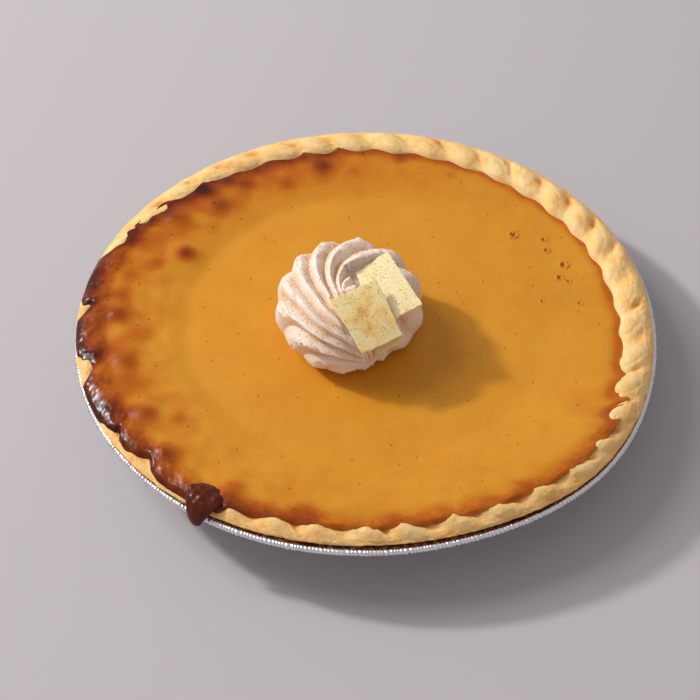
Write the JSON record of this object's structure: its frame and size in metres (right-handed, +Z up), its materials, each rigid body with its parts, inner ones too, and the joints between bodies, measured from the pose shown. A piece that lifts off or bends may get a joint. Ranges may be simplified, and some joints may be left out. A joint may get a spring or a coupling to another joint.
{
  "type": "pumpkin pie",
  "caption": "Baked pumpkin pie in its foil tin, with a pinched crust, filling that boiled over one side, and a cream rosette with thin white chocolate plates.",
  "frame": {"origin": "centre of the underside of the tin", "axes": "+Z up, -Y towards the front, where the crust's rim is narrowest, +X to the right"},
  "size_m": [0.2571, 0.257, 0.0618],
  "materials": {
    "foil": "rolled foil, bright on the hem and crinkled",
    "shortcrust": "baked shortcrust pastry, matt and slightly bumpy, browned at its edges",
    "pumpkin_custard": "set pumpkin custard, satin, with dark glossy bubbles where it boiled over",
    "whipped_cream": "piped whipped cream, matt, dusted with cinnamon",
    "white_chocolate": "white chocolate, thin and satin, dusted with cinnamon"
  },
  "bodies": {
    "root": {"tin": "foil", "crust": "shortcrust", "filling": "pumpkin_custard", "cream_rosette": "whipped_cream", "chocolate_plate_front": "white_chocolate", "chocolate_plate_back": "white_chocolate", "chocolate_plate_under": "white_chocolate"}
  },
  "joints": []
}
